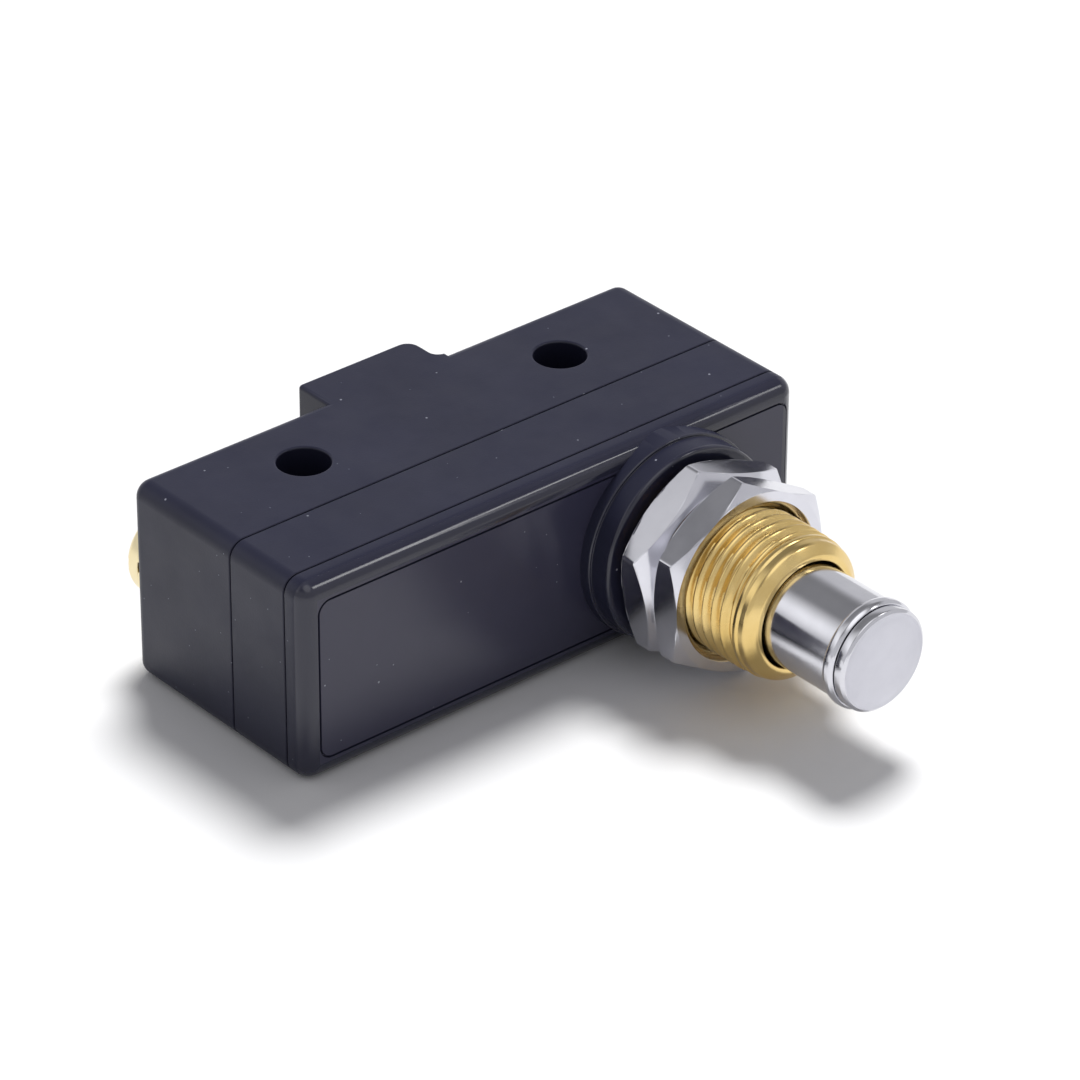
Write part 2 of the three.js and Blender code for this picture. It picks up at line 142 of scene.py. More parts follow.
def bare_mesh(name, verts, faces):
    """A mesh object in millimetres, with doubled points merged and its faces pointing out."""
    mesh = bpy.data.meshes.new(name)
    mesh.from_pydata([tuple(v) for v in verts], [], faces)
    bm = bmesh.new()
    bm.from_mesh(mesh)
    bmesh.ops.remove_doubles(bm, verts=bm.verts, dist=1e-4)
    bmesh.ops.recalc_face_normals(bm, faces=bm.faces)
    bm.to_mesh(mesh)
    bm.free()
    obj = bpy.data.objects.new(name, mesh)
    bpy.context.scene.collection.objects.link(obj)
    return obj


def grid(name, rows, columns, point, close_rows=False):
    """A surface through point(row, column), closed round its columns."""
    verts = [point(i, j) for i in range(rows) for j in range(columns)]
    faces = []
    for i in range(rows if close_rows else rows - 1):
        for j in range(columns):
            a, b = i % rows * columns, (i + 1) % rows * columns
            k = (j + 1) % columns
            faces.append((a + j, a + k, b + k, b + j))
    return bare_mesh(name, verts, faces)


def about_y(x):
    """Places (radius, station, angle) round an axis along Y at that X and mid thickness."""
    return lambda r, t, a: (x + r * math.cos(a), t, MID_Z + r * math.sin(a))


def about_z(x):
    """Places (radius, station, angle) round an axis along Z at that X and Y = 0."""
    return lambda r, t, a: (x + r * math.cos(a), r * math.sin(a), t)


def revolve(name, profile, place, sides=128):
    """A turned solid from (radius, station) pairs; a radius may be a function of the angle."""
    closed = not (profile[0][0] == 0 and profile[-1][0] == 0)

    def point(i, j):
        radius, station = profile[i]
        angle = TAU * j / sides
        if callable(radius):
            radius = radius(angle)
        return place(radius, station, angle)

    return grid(name, len(profile), sides, point, close_rows=closed)


def filleted(corners, steps=4):
    """Corner points (radius, station, fillet) as a profile with round corners."""
    count = len(corners)
    profile = []
    for i, (r, t, fillet) in enumerate(corners):
        here = Vector((r, t))
        before = Vector(corners[i - 1][:2]) - here
        after = Vector(corners[(i + 1) % count][:2]) - here
        if not fillet or before.length < 1e-6 or after.length < 1e-6:
            profile.append((r, t))
            continue
        half = before.angle(after) / 2
        back = min(fillet / math.tan(half), 0.49 * before.length, 0.49 * after.length)
        radius = back * math.tan(half)
        centre = here + (before.normalized() + after.normalized()).normalized() * radius / math.sin(half)
        start = here + before.normalized() * back - centre
        end = here + after.normalized() * back - centre
        swing = start.angle_signed(end)
        for k in range(steps + 1):
            spoke = start.copy()
            spoke.rotate(Matrix.Rotation(-swing * k / steps, 2))
            profile.append(tuple(centre + spoke))
    return profile


def rounded_ends(start, end, start_radius, end_radius, steps=6):
    """(station, inset) pairs of a block whose two ends have round edges."""
    first = []
    last = []
    for k in range(steps + 1):
        a = math.pi / 2 * k / steps
        first.append((start + start_radius * (1 - math.cos(a)), start_radius * (1 - math.sin(a))))
        last.append((end - end_radius * (1 - math.cos(a)), end_radius * (1 - math.sin(a))))
    return first + last[::-1]


def rounded_rectangle(x0, x1, z0, z1, radius, steps=8):
    """Points of a rounded rectangle, anticlockwise."""
    points = []
    centres = ((x1, z0, -90), (x1, z1, 0), (x0, z1, 90), (x0, z0, 180))
    for x, z, start in centres:
        cx = x - radius if x == x1 else x + radius
        cz = z - radius if z == z1 else z + radius
        for k in range(steps + 1):
            a = math.radians(start + 90 * k / steps)
            points.append((cx + radius * math.cos(a), cz + radius * math.sin(a)))
    return points


def inset_outline(points, distance):
    """The outline moved inwards; its points run anticlockwise."""
    if distance < 1e-9:
        return points
    moved = []
    for i, p in enumerate(points):
        here = Vector(p)
        before = (here - Vector(points[i - 1])).normalized()
        after = (Vector(points[(i + 1) % len(points)]) - here).normalized()
        inward = Vector((-before.y - after.y, before.x + after.x)).normalized()
        across = max(0.5, inward.dot(Vector((-after.y, after.x))))
        moved.append(tuple(here + inward * distance / across))
    return moved


def shifted_outline(points, distance):
    """The outline moved inwards, or outwards where the distance is negative."""
    if distance >= 0:
        return inset_outline(points, distance)
    turned = inset_outline(points[::-1], -distance)
    return turned[::-1]


def loft(name, stations, ring, place):
    """A closed block through ring(inset) at each (station, inset), with flat ends."""
    rings = [[place(u, v, t) for u, v in ring(inset)] for t, inset in stations]
    count = len(rings[0])
    verts = [p for r in rings for p in r]
    faces = []
    for i in range(len(rings) - 1):
        a, b = i * count, (i + 1) * count
        for j in range(count):
            k = (j + 1) % count
            faces.append((a + j, a + k, b + k, b + j))
    faces.append(tuple(range(count)))
    faces.append(tuple(range(len(verts) - count, len(verts))))
    return bare_mesh(name, verts, faces)


def along_y(u, v, t):
    return (u, t, v)


def along_z(u, v, t):
    return (u, v, t)


def block(x0, x1, y0, y1, z0, z1):
    """A plain box, used only as a cutter."""
    ring = [(x0, z0), (x1, z0), (x1, z1), (x0, z1)]
    return loft("cutter", [(y0, 0), (y1, 0)], lambda _: ring, along_y)


def strip_block(x0, x1, y0, y1, width):
    return block(x0, x1, y0, y1, MID_Z - width / 2, MID_Z + width / 2)


def combine(obj, tool, operation="DIFFERENCE"):
    """Joins, cuts or keeps with the tool, which is used up."""
    modifier = obj.modifiers.new("combine", "BOOLEAN")
    modifier.operation = operation
    modifier.solver = "EXACT"
    modifier.object = tool
    graph = bpy.context.evaluated_depsgraph_get()
    mesh = bpy.data.meshes.new_from_object(obj.evaluated_get(graph))
    obj.modifiers.clear()
    obj.data = mesh
    bpy.data.objects.remove(tool)
    return obj


def finish_piece(obj, material, body, nodes, sharp_angle=35, extra_materials=(), merge_flat=False):
    """Turns a millimetre mesh into a finished piece that rides a body and stands for CAD nodes.

    merge_flat joins the flat faces that a boolean leaves in pieces.
    """
    mesh = obj.data
    mesh.transform(Matrix.Scale(MM, 4))
    bm = bmesh.new()
    bm.from_mesh(mesh)
    if merge_flat:
        tiny = math.radians(0.2)
        bmesh.ops.dissolve_limit(bm, angle_limit=tiny, verts=bm.verts, edges=bm.edges)
    limit = math.radians(sharp_angle)
    for face in bm.faces:
        face.smooth = True
    for edge in bm.edges:
        edge.smooth = len(edge.link_faces) == 2 and edge.calc_face_angle(0) < limit
    bm.to_mesh(mesh)
    bm.free()
    mesh.materials.clear()
    for item in (material, *extra_materials):
        mesh.materials.append(item)
    weighted = obj.modifiers.new("even shading", "WEIGHTED_NORMAL")
    weighted.keep_sharp = True
    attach(obj, body)
    if nodes:
        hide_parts(*nodes)
    return obj


# ---------------------------------------------------------------- materials


class Look:
    """A material being built, with short names for its nodes."""

    def __init__(self, name):
        self.material = bpy.data.materials.new(name)
        self.material.use_nodes = True
        self.tree = self.material.node_tree
        self.shader = self.tree.nodes["Principled BSDF"]
        self.place = self.node("ShaderNodeTexCoord").outputs["Object"]
        self.bump_height = None

    def node(self, kind, **values):
        made = self.tree.nodes.new(kind)
        for key, value in values.items():
            setattr(made, key, value)
        return made

    def link(self, output, target):
        self.tree.links.new(output, target)

    def set(self, **values):
        for key, value in values.items():
            self.shader.inputs[key.replace("_", " ")].default_value = value

    def noise(self, scale, detail=4.0, roughness=0.6, stretch=(1, 1, 1)):
        mapping = self.node("ShaderNodeMapping")
        mapping.inputs["Scale"].default_value = stretch
        self.link(self.place, mapping.inputs["Vector"])
        made = self.node("ShaderNodeTexNoise")
        made.inputs["Scale"].default_value = scale
        made.inputs["Detail"].default_value = detail
        made.inputs["Roughness"].default_value = roughness
        self.link(mapping.outputs["Vector"], made.inputs["Vector"])
        return made.outputs["Fac"]

    def ranged(self, value, low, high, start=0.3, end=0.7):
        made = self.node("ShaderNodeMapRange")
        self.link(value, made.inputs["Value"])
        made.inputs["From Min"].default_value = start
        made.inputs["From Max"].default_value = end
        made.inputs["To Min"].default_value = low
        made.inputs["To Max"].default_value = high
        return made.outputs["Result"]

    def mixed(self, factor, first, second):
        made = self.node("ShaderNodeMix", data_type="RGBA")
        self.link(factor, made.inputs["Factor"])
        for socket, value in (("A", first), ("B", second)):
            target = [s for s in made.inputs if s.name == socket and s.type == "RGBA"][0]
            if isinstance(value, tuple):
                target.default_value = (*value, 1)
            else:
                self.link(value, target)
        return [s for s in made.outputs if s.type == "RGBA"][0]

    def specks(self, scale, size, share):
        """Small round dots, one in some cells of a 3D grid."""
        cells = self.node("ShaderNodeTexVoronoi")
        cells.inputs["Scale"].default_value = scale
        self.link(self.place, cells.inputs["Vector"])
        dot = self.node("ShaderNodeMath", operation="LESS_THAN")
        dot.inputs[1].default_value = size
        self.link(cells.outputs["Distance"], dot.inputs[0])
        chosen = self.node("ShaderNodeSeparateColor")
        self.link(cells.outputs["Color"], chosen.inputs["Color"])
        some = self.node("ShaderNodeMath", operation="LESS_THAN")
        some.inputs[1].default_value = share
        self.link(chosen.outputs["Red"], some.inputs[0])
        both = self.node("ShaderNodeMath", operation="MULTIPLY")
        self.link(dot.outputs[0], both.inputs[0])
        self.link(some.outputs[0], both.inputs[1])
        return both.outputs[0]

    def bump(self, height, strength, distance):
        made = self.node("ShaderNodeBump")
        made.inputs["Strength"].default_value = strength
        made.inputs["Distance"].default_value = distance
        self.link(height, made.inputs["Height"])
        if self.bump_height is not None:
            self.link(self.bump_height, made.inputs["Normal"])
        self.bump_height = made.outputs["Normal"]
        self.link(self.bump_height, self.shader.inputs["Normal"])

    def colour(self, output):
        self.link(output, self.shader.inputs["Base Color"])

    def roughness(self, output):
        self.link(output, self.shader.inputs["Roughness"])


def moulded(name, dark, light, rough, grain=0.25, dust=True, gleam=0.3):
    """Dark moulded plastic with a fine grain, faint cloudiness and a few dust specks."""
    look = Look(name)
    cloud = look.ranged(look.noise(90, 3), 0, 1)
    body = look.mixed(cloud, dark, light)
    if dust:
        fine = look.specks(900, 0.05, 0.3)
        coarse = look.specks(620, 0.055, 0.25)
        body = look.mixed(fine, body, (0.14, 0.15, 0.19))
        body = look.mixed(coarse, body, (0.24, 0.25, 0.3))
    look.colour(body)
    look.roughness(look.ranged(look.noise(260, 4), rough[0], rough[1]))
    look.bump(look.noise(5200, 3, 0.7), grain, 0.00003)
    look.bump(look.noise(140, 2), 0.05, 0.0003)
    look.set(IOR=1.53, Specular_IOR_Level=gleam)
    return look.material


def metal(name, dark, light, rough, stretch=(1, 1, 1), line_scale=1500, line=0.1, dent=0.05):
    """Metal with machining or rolling lines and a little uneven polish."""
    look = Look(name)
    look.colour(look.mixed(look.ranged(look.noise(160, 4), 0, 1), dark, light))
    lines = look.noise(line_scale, 3, 0.7, stretch)
    smudge = look.ranged(look.noise(210, 4), rough[0], rough[1])
    look.roughness(smudge)
    look.bump(lines, line, 0.00002)
    look.bump(look.noise(170, 2), dent, 0.0002)
    look.set(Metallic=1.0)
    return look.material


TURNED = (0.02, 1, 0.02)
ROLLED = (1, 0.05, 0.2)

phenolic = moulded("phenolic", (0.013, 0.0138, 0.030), (0.017, 0.018, 0.038), (0.36, 0.48))
glossy_rim = moulded(
    "glossy_rim", (0.018, 0.0185, 0.036), (0.022, 0.0225, 0.042), (0.12, 0.2), grain=0.05, gleam=0.5
)
# Front panel: its colour is lifted well above the phenolic's as painted light that brightens the shaded
# front face; its higher gloss is real.
panel_plastic = moulded(
    "panel_plastic", (0.034, 0.033, 0.06), (0.039, 0.038, 0.068), (0.16, 0.26), grain=0.04, gleam=0.38
)
brass = metal("brass", (0.70, 0.49, 0.17), (0.84, 0.64, 0.29), (0.18, 0.3), TURNED, 1800, 0.16)
yellow_brass = metal("yellow_brass", (0.82, 0.7, 0.42), (0.9, 0.8, 0.56), (0.26, 0.38), TURNED, 1500, 0.1)
nickel = metal("nickel", (0.62, 0.62, 0.67), (0.72, 0.72, 0.77), (0.12, 0.22), ROLLED, 900, 0.06, 0.08)
steel = metal("steel", (0.62, 0.62, 0.66), (0.72, 0.72, 0.76), (0.08, 0.18), TURNED, 1600, 0.08, 0.03)
satin_steel = metal("satin_steel", (0.55, 0.55, 0.6), (0.63, 0.63, 0.68), (0.32, 0.45), (1, 1, 1), 2600, 0.2)
spring_steel = metal("spring_steel", (0.36, 0.36, 0.38), (0.48, 0.48, 0.5), (0.25, 0.38))
copper_alloy = metal("copper_alloy", (0.62, 0.32, 0.16), (0.72, 0.42, 0.24), (0.22, 0.34), ROLLED)
silver = metal("silver", (0.74, 0.74, 0.76), (0.84, 0.84, 0.86), (0.16, 0.28))
red_nylon = moulded("red_nylon", (0.24, 0.025, 0.02), (0.3, 0.035, 0.028), (0.35, 0.5), dust=False)


# ---------------------------------------------------------------- case


def case_ring(inset):
    radius = max(CORNER - inset, 0.05)
    return rounded_rectangle(
        -HALF_LENGTH + inset, HALF_LENGTH - inset, inset, THICKNESS - inset, radius
    )


def case_slice(name, front, rear, front_radius, rear_radius):
    stations = rounded_ends(front, rear, front_radius, rear_radius)
    return loft(name, stations, case_ring, along_y)


def close_seam(shell, rear, next_front):
    """Bridges the hair gap behind a moulding, a little way in from its outside."""
    depth = 0.5
    tongue = loft("tongue", [(rear - depth, depth), (next_front, depth)], case_ring, along_y)
    combine(shell, tongue, "UNION")


def bump_outline():
    fillet = 0.8
    corner = 1.2
    foot = SHOULDER_Y - 2.5
    points = [(BUMP_LEFT, foot), (BUMP_RIGHT + fillet, foot)]
    for k in range(9):
        a = math.radians(-90 - 90 * k / 8)
        centre = (BUMP_RIGHT + fillet, SHOULDER_Y + fillet)
        points.append((centre[0] + fillet * math.cos(a), centre[1] + fillet * math.sin(a)))
    for k in range(9):
        a = math.radians(90 * k / 8)
        points.append((BUMP_RIGHT - corner + corner * math.cos(a), BUMP_Y - corner + corner * math.sin(a)))
    for k in range(5):
        a = math.radians(90 + 90 * k / 4)
        points.append((BUMP_LEFT + 0.4 + 0.4 * math.cos(a), BUMP_Y - 0.4 + 0.4 * math.sin(a)))
    return points


def hole_cutter(x):
    edge = 0.2
    steps = 4
    flare = [(HOLE_RADIUS + edge + 0.3, THICKNESS + 0.3)]
    for k in range(steps + 1):
        a = math.pi / 2 * k / steps
        flare.append((HOLE_RADIUS + edge * (1 - math.sin(a)), THICKNESS - edge * (1 - math.cos(a))))
    mirrored = [(r, THICKNESS - t) for r, t in reversed(flare)]
    return revolve("cutter", [(0, THICKNESS + 0.3), *flare, *mirrored, (0, -0.3)], about_z(x), 96)


def terminal_places():
    """For each terminal: pad ends, leg ends and screw station along X, and the Y of its face."""
    found = {}
    for name, pad in TERMINAL_PADS.items():
        screw_low, screw_high = box_mm(f"terminal_screw_{name}")
        found[name] = {
            "pad": pad,
            "leg": (pad[1] - STRIP_THICKNESS, pad[1]),
            "screw": (screw_low.x + screw_high.x) / 2,
            "face": box_mm(f"terminal_{name}")[1].y,
        }
    return found


TERMINALS = terminal_places()


def make_case_base():
    base = case_slice("case_base_shell", base_low.y, SHOULDER_Y, LIP, BACK_FILLET)
    bump_stations = rounded_ends(0, THICKNESS, 0.32, 0.32)
    outline = bump_outline()
    bump = loft("bump", bump_stations, lambda inset: inset_outline(outline, inset), along_z)
    combine(base, bump, "UNION")
    for x in (-HOLE_X, HOLE_X):
        combine(base, hole_cutter(x))
    combine(base, strip_block(*CHAMBER_X, base_low.y - 1, CHAMBER_BACK, THICKNESS - 2 * WALL))
    for item in TERMINALS.values():
        face = item["face"]
        pad = (item["pad"][0] - FIT, item["pad"][1] + FIT)
        leg = (item["leg"][0] - FIT, item["leg"][1] + FIT)
        behind = face - 0.5
        combine(base, strip_block(*pad, face - STRIP_THICKNESS - FIT, face + 1, PAD_WIDTH + 2 * FIT))
        combine(base, strip_block(*leg, base_low.y - 1, behind, LEG_WIDTH + 2 * FIT))
        floor = face - SCREW_WELL_DEPTH
        well = [(0, floor), (SCREW_WELL_RADIUS, floor), (SCREW_WELL_RADIUS, behind), (0, behind)]
        combine(base, revolve("cutter", well, about_y(item["screw"]), 48))
    return finish_piece(base, phenolic, "case", ["case_base"], merge_flat=True)


def make_case_cover():
    cover = case_slice("case_cover_shell", cover_low.y, cover_high.y, LIP, LIP)
    close_seam(cover, cover_high.y, base_low.y)
    combine(cover, strip_block(*CHAMBER_X, CHAMBER_FRONT, cover_high.y + 1, THICKNESS - 2 * WALL))
    guide = (pin_high.x - pin_low.x) / 2 - PIN_STEP + FIT
    start = cover_low.y - 1
    end = CHAMBER_FRONT + 1
    hole = [(0, start), (guide, start), (guide, end), (0, end)]
    combine(cover, revolve("cutter", hole, about_y(HEAD_X), 48))
    return finish_piece(cover, phenolic, "case", ["case_cover"])


def panel_groove_cutter():
    """A thin frame round the front panel, V-shaped in section."""
    outer = rounded_rectangle(PANEL_LEFT, PANEL_RIGHT, PANEL_LOW, PANEL_HIGH, PANEL_CORNER, 12)
    mouth = GROOVE_WIDTH
    root = GROOVE_WIDTH / 8
    section = [(-mouth, -GROOVE_DEPTH), (mouth, -GROOVE_DEPTH), (root, GROOVE_DEPTH), (-root, GROOVE_DEPTH)]
    rings = [(shifted_outline(outer, side), FRONT_Y + depth) for side, depth in section]

    def point(i, j):
        outline, y = rings[i]
        return (outline[j][0], y, outline[j][1])

    return grid("cutter", len(rings), len(outer), point, True)


def make_head_cap():
    cap = case_slice("head_cap_shell", FRONT_Y, cap_high.y, FRONT_FILLET, LIP)
    close_seam(cap, cap_high.y, cover_low.y)
    combine(cap, panel_groove_cutter())
    step = FRONT_Y - BOSS_STEP
    boss_profile = filleted(
        [
            (0, FRONT_Y + 1, 0),
            (BOSS_STEP_RADIUS, FRONT_Y + 1, 0),
            (BOSS_STEP_RADIUS, step, 0.18),
            (BOSS_RADIUS, step, 0.05),
            (BOSS_RADIUS, BOSS_FRONT, 0.3),
            (0, BOSS_FRONT, 0),
        ]
    )
    boss = revolve("boss", boss_profile, about_y(HEAD_X), 160)
    trim = 0.05
    combine(boss, block(-30, 30, BOSS_FRONT - 1, FRONT_Y + 2, trim, THICKNESS - trim), "INTERSECT")
    combine(cap, boss, "UNION")
    bore = 6.25
    flange = FLANGE_RADIUS + FIT
    recess = bushing_high.y - 1.1 - FIT
    cut = [
        (0, BOSS_FRONT - 1),
        (bore, BOSS_FRONT - 1),
        (bore, recess),
        (flange, recess),
        (flange, cap_high.y + 1),
        (0, cap_high.y + 1),
    ]
    combine(cap, revolve("cutter", cut, about_y(HEAD_X), 96))
    extra = (panel_plastic, glossy_rim)
    piece = finish_piece(cap, phenolic, "case", ["head_cap"], extra_materials=extra)
    for face in piece.data.polygons:
        centre = face.center / MM
        if centre.y < FRONT_Y + 1.2 and face.normal.y < -0.15:
            face.material_index = 2
        # Flat front faces inside the groove take the front panel material, whose lighter colour is painted
        # light.
        inside_x = PANEL_LEFT + 0.6 < centre.x < PANEL_RIGHT - 0.6
        inside_z = PANEL_LOW + 0.6 < centre.z < PANEL_HIGH - 0.6
        on_front = face.normal.y < -0.99 and abs(centre.y - FRONT_Y) < 0.01
        if on_front and inside_x and inside_z:
            face.material_index = 1
    return piece


make_case_base()
make_case_cover()
make_head_cap()


# ---------------------------------------------------------------- bushing and nuts


def thread_wave(y, angle, first, last):
    """0 at the root and 1 at the crest of a right-hand thread, fading at its two ends."""
    phase = y / PITCH + angle / TAU
    wave = (0.5 + 0.5 * math.cos(TAU * phase)) ** 0.75
    fade = min(1.0, abs(y - first) / 0.5, abs(y - last) / 0.35)
    return wave * fade


def threaded(first, last, root, crest, rows_per_pitch=12):
    """Profile rows of a thread between two stations."""
    rows = max(2, round(abs(last - first) / PITCH * rows_per_pitch))
    made = []
    for k in range(rows + 1):
        y = first + (last - first) * k / rows
        made.append((lambda a, y=y: root + (crest - root) * thread_wave(y, a, first, last), y))
    return made


def make_bushing():
    end = bushing_low.y
    rear = bushing_high.y
    flange = rear - 1.1
    lip = end + 2.1
    inner = filleted(
        [
            (GUIDE_RADIUS, SHOULDER_IN_BUSHING, 0.1),
            (WELL_RADIUS, SHOULDER_IN_BUSHING, 0.1),
            (WELL_RADIUS, rear, 0.15),
            (FLANGE_RADIUS, rear, 0.15),
            (FLANGE_RADIUS, flange, 0.15),
            (THREAD_CREST, flange, 0.1),
            (THREAD_CREST, BOSS_FRONT + 0.5, 0.2),
            (THREAD_ROOT, BOSS_FRONT + 0.3, 0.1),
        ]
    )
    thread = threaded(BOSS_FRONT + 0.1, lip, THREAD_ROOT, THREAD_CREST)
    mouth = filleted(
        [
            (THREAD_ROOT, lip - 0.05, 0.05),
            (THREAD_CREST - 0.11, lip - 0.3, 0.2),
            (THREAD_CREST - 0.09, lip - 0.65, 0.15),
            (THREAD_CREST - 0.24, lip - 0.8, 0.15),
            (THREAD_CREST - 0.26, end + 0.65, 0.5),
            (THREAD_CREST - 1.1, end, 0.7),
            (GUIDE_RADIUS + 0.14, end, 0.1),
            (GUIDE_RADIUS, end + 0.3, 0.1),
        ],
        6,
    )
    bushing = revolve("bushing_threaded", [*inner, *thread, *mouth], about_y(HEAD_X), 144)
    return finish_piece(bushing, brass, "case", ["bushing"], 50)


def nut_columns(turn):
    """Angles round a nut, closer together at its six corners, with the angle from each flat's middle."""
    offsets = [-30, -29.6, -29.1, -28.4, -27.2, -25, -22, -18, -14, -10, -6, -2]
    sector = offsets + [-a for a in reversed(offsets)][:-1]
    columns = []
    for k in range(6):
        for offset in sector:
            columns.append((math.radians(turn + 30 + 60 * k + offset), math.radians(offset)))
    return columns


def make_nut(node, body):
    low, high = box_mm(node)
    front, rear = low.y, high.y
    half = (rear - front) / 2
    middle = (rear + front) / 2
    columns = nut_columns(NUT_TURNS[node])
    corner_soft = 0.05
    crease = 0.045
    cone = [0, 0.12, 0.5, 0.85, 0.96, 1.0]
    side_shares = [0.03, 0.12, 0.5, 1.0]
    rear_face, front_face = NUT_FACES[node]
    sink_radius = 6.6
    bore_radius = 6.22
    crest_radius = 6.02

    def flat_radius(offset):
        edge = ACROSS_FLATS / math.sqrt(3) - corner_soft
        return min(ACROSS_FLATS / 2 / math.cos(offset), edge)

    def outer(face, share, offset):
        """(radius, distance from the face) on the chamfer cone, share 0 to 1."""
        reach = max(flat_radius(offset) - face, 0.0)
        drop = crease * min(1.0, reach / 0.2) if share == 1.0 else 0
        radius = min(face, flat_radius(offset)) + reach * share - drop
        return radius, reach * share * NUT_CHAMFER_SLOPE + 0.02 * (share > 0)

    def flank(face, share, offset):
        start = max(flat_radius(offset) - face, 0.0) * NUT_CHAMFER_SLOPE + 0.03
        return flat_radius(offset), start + share * (half - start)

    def row(shape, face, share, side):
        """A ring of the nut, measured inwards from its rear (side 1) or front (side -1) face."""

        def at(offset):
            radius, depth = shape(face, share, offset)
            return radius, side * (half - depth)

        return at

    rows = [row(outer, rear_face, share, 1) for share in cone]
    rows += [row(flank, rear_face, share, 1) for share in side_shares]
    rows += [row(flank, front_face, share, -1) for share in side_shares[-2::-1]]
    rows += [row(outer, front_face, share, -1) for share in cone[::-1]]
    sink_depth = 0.55
    rows.append(lambda o: (sink_radius + 0.05, -half))
    rows.append(lambda o: (sink_radius - 0.02, -half + 0.04))
    bore_rows = 24
    for k in range(bore_rows + 1):
        level = -half + sink_depth + (2 * half - 2 * sink_depth) * k / bore_rows
        rows.append(lambda o, t=level: ("bore", t))
    rows.append(lambda o: (sink_radius - 0.02, half - 0.04))
    rows.append(lambda o: (sink_radius + 0.05, half))

    def point(i, j):
        angle, offset = columns[j]
        radius, level = rows[i](offset)
        y = middle + level
        if radius == "bore":
            wave = thread_wave(y, angle + math.pi, rear, front)
            radius = bore_radius - (bore_radius - crest_radius) * wave
        return about_y(HEAD_X)(radius, y, angle)

    nut = grid(f"{node}_plated", len(rows), len(columns), point, close_rows=True)
    return finish_piece(nut, nickel, body, [node], 28)


make_bushing()
make_nut("nut_rear", "rear_nut")
make_nut("nut_front", "front_nut")


# ---------------------------------------------------------------- plunger


def make_plunger_sleeve():
    outer = 4.2
    bead_outer = 4.47
    front = sleeve_low.y
    rear = sleeve_high.y
    bead_rear = front + 1.0
    ring_front = SHOULDER_IN_BUSHING + 0.05
    ring_rear = ring_front + 0.9
    profile = filleted(
        [
            (2.1, rear, 0.1),
            (outer, rear, 0.25),
            (outer, ring_rear, 0.03),
            (3.85, ring_rear, 0.03),
            (3.85, ring_front, 0.03),
            (outer, ring_front, 0.03),
            (outer, bead_rear, 0.06),
            (bead_outer - 0.1, bead_rear, 0.12),
            (bead_outer, bead_rear - 0.3, 0.3),
            (bead_outer, front + 0.25, 0.3),
            (bead_outer - 0.2, front, 0.12),
            (3.5, front, 0.05),
            (3.5, rear - 0.8, 0.1),
            (2.1, rear - 0.8, 0.1),
        ]
    )
    sleeve = revolve("plunger_sleeve_polished", profile, about_y(HEAD_X))
    return finish_piece(sleeve, steel, "plunger", ["plunger_sleeve"], 40)


def make_plunger_cap():
    outer = (tip_high.x - tip_low.x) / 2
    front = tip_low.y
    seat = sleeve_low.y - 0.08
    profile = filleted(
        [
            (0, tip_high.y, 0),
            (3.4, tip_high.y, 0.15),
            (3.4, seat, 0.05),
            (outer, seat, 0.08),
            (outer, front + 0.34, 0.12),
            (outer - 0.32, front + 0.1, 0.2),
        ]
    )
    dome_steps = 10
    for k in range(1, dome_steps + 1):
        share = 1 - k / dome_steps
        profile.append(((outer - 0.4) * share, front + 0.09 * share**2))
    cap = revolve("plunger_cap_domed", profile, about_y(HEAD_X))
    piece = finish_piece(cap, steel, "plunger", ["plunger_cap"], 40, (satin_steel,))
    for face in piece.data.polygons:
        if face.normal.y < -0.9:
            face.material_index = 1
    return piece


def make_retaining_ring():
    low, high = box_mm("retaining_ring")
    outer = (high.x - low.x) / 2
    gap = math.radians(11)
    steps = 90
    inner = 3.95
    corners = ((inner, low.y), (outer, low.y), (outer, high.y), (inner, high.y))
    section = filleted([(r, y, 0.08) for r, y in corners])
    rings = []
    for i in range(steps + 1):
        a = -math.pi / 2 + gap + (TAU - 2 * gap) * i / steps
        rings.append([about_y(HEAD_X)(r, t, a) for r, t in section])
    count = len(section)
    verts = [p for ring in rings for p in ring]
    faces = []
    for i in range(steps):
        for j in range(count):
            k = (j + 1) % count
            faces.append((i * count + j, i * count + k, (i + 1) * count + k, (i + 1) * count + j))
    faces.append(tuple(range(count)))
    faces.append(tuple(range(steps * count, (steps + 1) * count)))
    ring = bare_mesh("retaining_ring_open", verts, faces)
    return finish_piece(ring, spring_steel, "plunger", ["retaining_ring"])


def make_inner_pusher():
    head = 3.3
    rod = 1.7
    front, rear = pusher_low.y, pusher_high.y
    profile = filleted(
        [
            (0, front, 0),
            (head, front, 0.3),
            (head, front + 1.4, 0.1),
            (rod, front + 1.4, 0.15),
            (rod, rear, 0.3),
            (0, rear, 0),
        ]
    )
    pusher = revolve("inner_pusher_turned", profile, about_y(HEAD_X), 64)
    return finish_piece(pusher, yellow_brass, "pusher", ["inner_pusher"])


def make_pin_plunger():
    rod = PIN_RADIUS
    flange = PIN_FLANGE_RADIUS
    flange_front = CHAMBER_FRONT + FIT
    profile = filleted(
        [
            (0, pin_low.y, 0),
            (rod, pin_low.y, 0.15),
            (rod, flange_front, 0.05),
            (flange, flange_front, 0.12),
            (flange, flange_front + 0.8, 0.12),
            (rod, flange_front + 0.8, 0.1),
            (rod, pin_high.y - 0.6, 0.3),
            (rod - 0.6, pin_high.y, 0.3),
            (0, pin_high.y, 0),
        ]
    )
    pin = revolve("pin_plunger_moulded", profile, about_y(HEAD_X), 64)
    return finish_piece(pin, red_nylon, "pin", ["pin_plunger"])


make_plunger_sleeve()
make_plunger_cap()
make_retaining_ring()
make_inner_pusher()
make_pin_plunger()


# ---------------------------------------------------------------- springs


